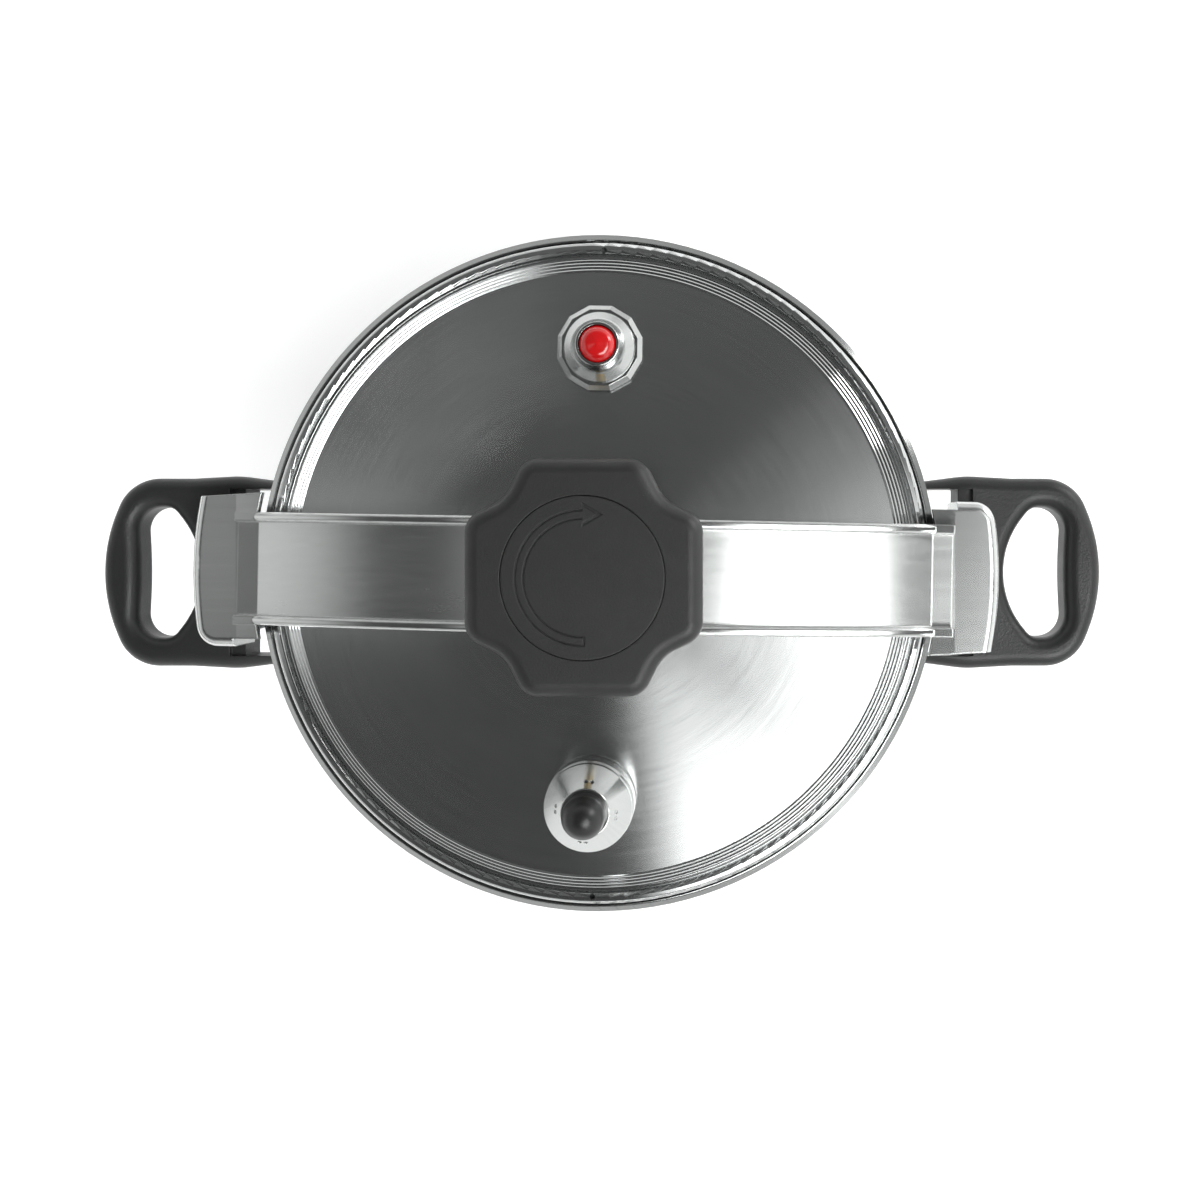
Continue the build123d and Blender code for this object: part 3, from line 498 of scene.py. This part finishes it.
finishes = {
    "lid_steel": steel("lid_steel", (0.66, 0.67, 0.67), 0.2, 0.9, rings, tangent="rings", Fineness=3000.0),
    "pot_steel": steel("pot_steel", (0.62, 0.63, 0.625), 0.2, 0.4, rings, tangent="rings", Fineness=2500.0),
    "valve_steel": steel("valve_steel", (0.55, 0.56, 0.555), 0.16, 0.3, rings, tangent="rings",
                         edge_reach=0.0003, Fineness=6000.0),
    "bracket_steel": steel("bracket_steel", (0.52, 0.53, 0.54), 0.36, 0.0, lines,
                           Fineness=900.0, Stretch=3.0),
    "fastener_steel": steel("fastener_steel", (0.58, 0.59, 0.6), 0.28, 0.2, rings, tangent="rings",
                            edge_reach=0.0003, Fineness=5000.0),
    "spring_steel": steel("spring_steel", (0.6, 0.6, 0.6), 0.25, 0.0, lines,
                          edge_reach=0.0001, Fineness=5000.0),
    "heat_aluminium": steel("heat_aluminium", (0.78, 0.78, 0.79), 0.42, 0.3, rings, tangent="rings",
                            Fineness=1200.0),
    "bush_brass": steel("bush_brass", (0.72, 0.53, 0.24), 0.3, 0.2, rings, tangent="rings",
                        edge_reach=0.0003, Fineness=5000.0),
}
print("metal finishes", len(finishes))

# %% [markdown]
# The lid and the pot's rolled rim also get their spun rings: the turned normal takes the place of the
# bevelled one under the brushing, and the rings are shinier than the panel inside them.


# %% Rings on the lid and the rim
def spin(finish, shine, **numbers):
    """Lays spun rings under a finish's brushing."""
    tree = finish.node_tree
    shader = tree.nodes["Principled BSDF"]
    relief = shader.inputs["Normal"].links[0].from_node
    turned_rings = place_effect(tree, spun, **numbers)
    tree.links.new(turned_rings["Normal"], relief.inputs["Normal"])
    panel_rough = shader.inputs["Roughness"].links[0].from_socket
    tree.links.new(add(tree, "Mix", {"Factor": turned_rings["Ring"], 2: panel_rough, 3: shine},
                       data_type="FLOAT").outputs[0], shader.inputs["Roughness"])


ridge_count = 4
lid_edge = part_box("lid_shell")[1].x
pot_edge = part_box("pot_shell")[1].y
ring_end = lid_edge - 0.0070       # the groove and the round band lie outside the ridges
ring_start = ring_end - 0.0055     # where the dome ends and the ridges begin
bead_start = pot_edge - 0.0042     # the pot's rolled rim, past the lid's skirt
bead_end = pot_edge + 0.0020
spin(finishes["lid_steel"], shine=0.13, Start=ring_start, End=ring_end,
     Pitch=(ring_end - ring_start) / ridge_count, Lean=-0.5)
spin(finishes["pot_steel"], shine=0.16, Start=bead_start, End=bead_end, Lean=0.0, Bias=0.36)
print("ridges", ridge_count, "from", round(ring_start, 4), "to", round(ring_end, 4), "m")

# %% [markdown]
# ### The yoke's strap
# The strap is brushed along its length, its two folded rails are buffed bright, and the hooks on its
# ends are a little smoother than the strap. One material holds all three: how far a point lies along
# and across the strap says which it is.

# %% Yoke steel
rail_start, rail_blend = 0.0172, 0.0006        # from the strap's middle line
strap_reach, reach_blend = 0.1325, 0.0005      # from the middle to where the hooks begin
yoke_set = 0.0183                              # how far the yoke stands off square, as a slope
hook_shine, rail_shine = 0.21, 0.16
yoke_finish = steel("yoke_steel", (0.7, 0.71, 0.705), 0.25, 0.85, lines, tangent="lines",
                    edge_reach=0.0008, Fineness=1600.0, Stretch=90.0)
tree = yoke_finish.node_tree
shader = tree.nodes["Principled BSDF"]
split = add(tree, "SeparateXYZ", {"Vector": add(tree, "TexCoord").outputs["Object"]})
drift = maths(tree, "MULTIPLY", split.outputs["X"], yoke_set)
across = maths(tree, "ABSOLUTE", maths(tree, "ADD", split.outputs["Y"], drift))
along = maths(tree, "ABSOLUTE", split.outputs["X"])
on_rail = between(tree, across, rail_start, rail_start + rail_blend)
on_strap = between(tree, along, strap_reach, strap_reach - reach_blend)
buffed = maths(tree, "MULTIPLY", on_rail, on_strap)
strap_shine = shader.inputs["Roughness"].links[0].from_socket
shine = add(tree, "Mix", {"Factor": on_strap, 2: hook_shine, 3: strap_shine}, data_type="FLOAT").outputs[0]
shine = add(tree, "Mix", {"Factor": buffed, 2: shine, 3: rail_shine}, data_type="FLOAT").outputs[0]
tree.links.new(shine, shader.inputs["Roughness"])
finishes["yoke_steel"] = yoke_finish


# %% [markdown]
# ## Plastic and rubber finishes
# The grips are black phenolic, moulded with a fine grain. The red button and the weight's grip are
# smoother. Rubber is matt and slightly dusty.


# %% Plastics
coat_rough, plastic_ior = 0.06, 1.52
fresh_tone, rubbed_tone = 0.85, 1.15       # shares of a plastic's own tone
plastic_edge, plastic_dust = 0.5, 0.10     # how strongly rubbed edges and dust show
plastic_dust_colour = (0.45, 0.44, 0.42)
finger_polish = 0.04
grain_relief = 0.6


def moulded(name, tone, rough, depth, scale=1800.0, coat=0.0, edge_reach=0.0006, rubbed=0.12, lift=1.9):
    """Moulded plastic or rubber: tone, shine, and the depth and scale of its grain."""
    made, tree, shader = start(name)
    shader.inputs["Coat Weight"].default_value = coat
    shader.inputs["Coat Roughness"].default_value = coat_rough
    shader.inputs["IOR"].default_value = plastic_ior
    pebble = place_effect(tree, grain, Scale=scale)
    worn = place_effect(tree, edges, Reach=edge_reach)
    dirt = place_effect(tree, marks, Scale=22.0, Dust=700.0)
    edge = maths(tree, "MULTIPLY", worn["Edge"], plastic_edge)
    dusted = maths(tree, "MULTIPLY", dirt["Speck"], plastic_dust)
    shade = mixed(tree, pebble["Rubbed"], shaded(tone, fresh_tone), shaded(tone, rubbed_tone))
    shade = mixed(tree, edge, shade, shaded(tone, lift))
    shade = mixed(tree, dusted, shade, plastic_dust_colour)
    tree.links.new(shade, shader.inputs["Base Color"])
    shine = between(tree, pebble["Rubbed"], 0.0, 1.0, rough, rough * (1 - rubbed))
    shine = maths(tree, "SUBTRACT", shine, maths(tree, "MULTIPLY", dirt["Smudge"], finger_polish))
    tree.links.new(shine, shader.inputs["Roughness"])
    bumped(tree, shader, pebble["Height"], depth, worn["Normal"], grain_relief)
    return made


finishes.update({
    "handle_black": moulded("handle_black", (0.014, 0.0148, 0.0144), 0.46, 0.00010, scale=1300.0),
    "knob_black": moulded("knob_black", (0.017, 0.0172, 0.017), 0.5, 0.00006, scale=1500.0),
    "ball_black": moulded("ball_black", (0.014, 0.014, 0.014), 0.36, 0.00002, scale=2200.0),
    "button_red": moulded("button_red", (0.62, 0.006, 0.008), 0.2, 0.000005, coat=0.9, lift=1.1),
    "seal_rubber": moulded("seal_rubber", (0.055, 0.055, 0.058), 0.62, 0.00005, scale=2500.0),
})
print("all finishes", sorted(finishes))

# %% [markdown]
# ## The button's spring
# When pressure lifts the red button, the coil round its pin is pressed short against the lid's neck.
# A coil made here takes the stiff imported piece's place, wound to that piece's full length; this
# script does not squash it.

# %% Button spring
low, high = (Vector(corner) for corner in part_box("indicator_spring"))
wire_radius = 0.0005
coil_steps, wire_sides, coil_loops = 28, 8, 4
middle = (low + high) / 2
coil_radius = (high.x - low.x) / 2 - wire_radius
climb = high.z - low.z - 2 * wire_radius
upright = Vector((0, 0, 1))
points, faces = [], []
for step in range(coil_steps * coil_loops + 1):
    share = step / (coil_steps * coil_loops)
    turn = share * coil_loops * 2 * math.pi
    out = Vector((math.cos(turn), math.sin(turn), 0))
    centre = Vector((middle.x, middle.y, low.z + wire_radius + share * climb)) + out * coil_radius
    for side in range(wire_sides):
        about = side / wire_sides * 2 * math.pi
        points.append(centre + wire_radius * (math.cos(about) * out + math.sin(about) * upright))
        if step:
            corner, after = step * wire_sides + side, step * wire_sides + (side + 1) % wire_sides
            faces.append((corner - wire_sides, corner, after, after - wire_sides))
faces.append(tuple(range(wire_sides)))
faces.append(tuple(reversed(range(len(points) - wire_sides, len(points)))))
coil_mesh = bpy.data.meshes.new("button_spring")
coil_mesh.from_pydata(points, [], faces)
coil_mesh.shade_smooth()
coil_mesh.materials.append(finishes["spring_steel"])
coil = bpy.data.objects.new("button_spring", coil_mesh)
scene.collection.objects.link(coil)
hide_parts("indicator_spring")
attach(coil, "lid")
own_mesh(coil)
print("spring", round(climb * 1000, 1), "mm long,", coil_loops, "turns")

# %% [markdown]
# ## Dressing the pieces
# The record names one finish for every piece, so the assembly is dressed in a loop and nothing is
# left bare.

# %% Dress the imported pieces
for part in record["subparts"]:
    piece = nodes[part["node"]]
    piece.data.materials.clear()
    piece.data.materials.append(finishes[part["material_slot"]])
    print(part["node"], "->", part["material_slot"])
